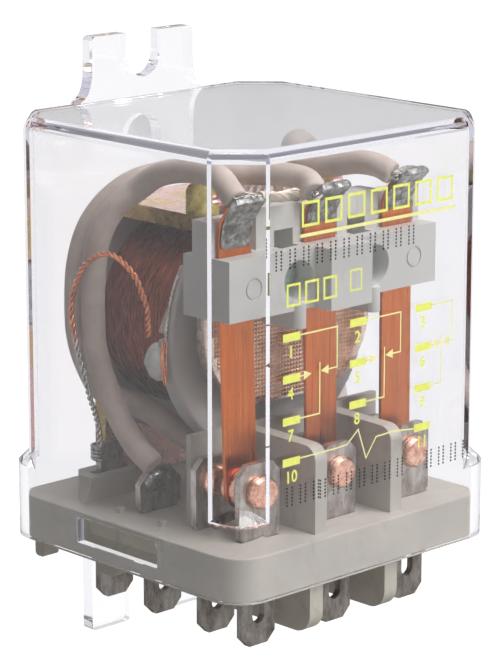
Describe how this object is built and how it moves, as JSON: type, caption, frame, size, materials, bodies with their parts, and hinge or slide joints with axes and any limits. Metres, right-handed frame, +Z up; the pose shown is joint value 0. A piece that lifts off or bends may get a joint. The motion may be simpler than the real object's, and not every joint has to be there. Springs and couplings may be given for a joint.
{
  "type": "plug-in relay",
  "caption": "Three-pole plug-in power relay with a clear dust cover, a slotted mounting flange, quick-connect blades and a hinged armature moving copper contact arms.",
  "frame": {"origin": "centre of the base's underside, between the rows of blades", "axes": "+Z up through the top of the cover, +Y out of the back where the mounting flange is, +X to the right seen from the contact side"},
  "size_m": [0.0388, 0.0372, 0.0675],
  "materials": {
    "clear": "clear moulded polycarbonate",
    "phenolic": "warm grey moulded base",
    "carrier": "light grey moulding",
    "bobbin": "grey moulding",
    "tinned": "tinned brass blade",
    "solder": "bright solder",
    "copper": "bare copper alloy",
    "winding": "enamelled copper winding",
    "dichromate": "yellow to pink passivated zinc on steel",
    "steel": "plated steel",
    "sleeve": "matt warm grey insulation",
    "wire": "enamelled copper wire",
    "lacquer": "dried lacquer"
  },
  "bodies": {
    "case": {"cover": "clear", "base": "phenolic", "terminal_nc_1": "tinned", "terminal_nc_2": "tinned", "terminal_nc_3": "tinned", "terminal_no_1": "tinned", "terminal_no_2": "tinned", "terminal_no_3": "tinned", "terminal_common_1": "tinned", "terminal_common_2": "tinned", "terminal_common_3": "tinned", "terminal_coil_a": "tinned", "terminal_coil_b": "tinned", "contact_nc_1": "copper", "contact_nc_2": "copper", "contact_nc_3": "copper", "contact_no_1": "copper", "contact_no_2": "copper", "contact_no_3": "copper", "yoke": "dichromate", "core": "steel", "shading_ring": "copper", "bobbin": "bobbin", "winding": "winding", "return_spring": "steel", "tab_solder_1": "solder", "tab_solder_2": "solder", "tab_solder_3": "solder", "flex_lead_1": "sleeve", "flex_lead_2": "sleeve", "flex_lead_3": "sleeve", "coil_wire_a": "wire", "coil_wire_b": "wire", "wire_sleeve": "sleeve", "lacquer_dab": "lacquer"},
    "armature_group": {"armature": "steel", "carrier": "carrier", "carrier_rivet_1": "steel", "carrier_rivet_2": "steel", "arm_1": "copper", "arm_2": "copper", "arm_3": "copper", "moving_contact_1": "copper", "moving_contact_2": "copper", "moving_contact_3": "copper", "tail_solder_1": "solder", "tail_solder_2": "solder", "tail_solder_3": "solder", "braid_end": "solder"}
  },
  "joints": [
    {"name": "armature_hinge", "type": "hinge", "parent": "case", "child": "armature_group", "pos_m": [0, -0.0046, 0.036], "axis": [1, 0, 0], "range_deg": [0, 3], "stiffness_Nm_per_rad": 0.15, "springref_deg": -5.16, "deforming": ["return_spring"]}
  ]
}
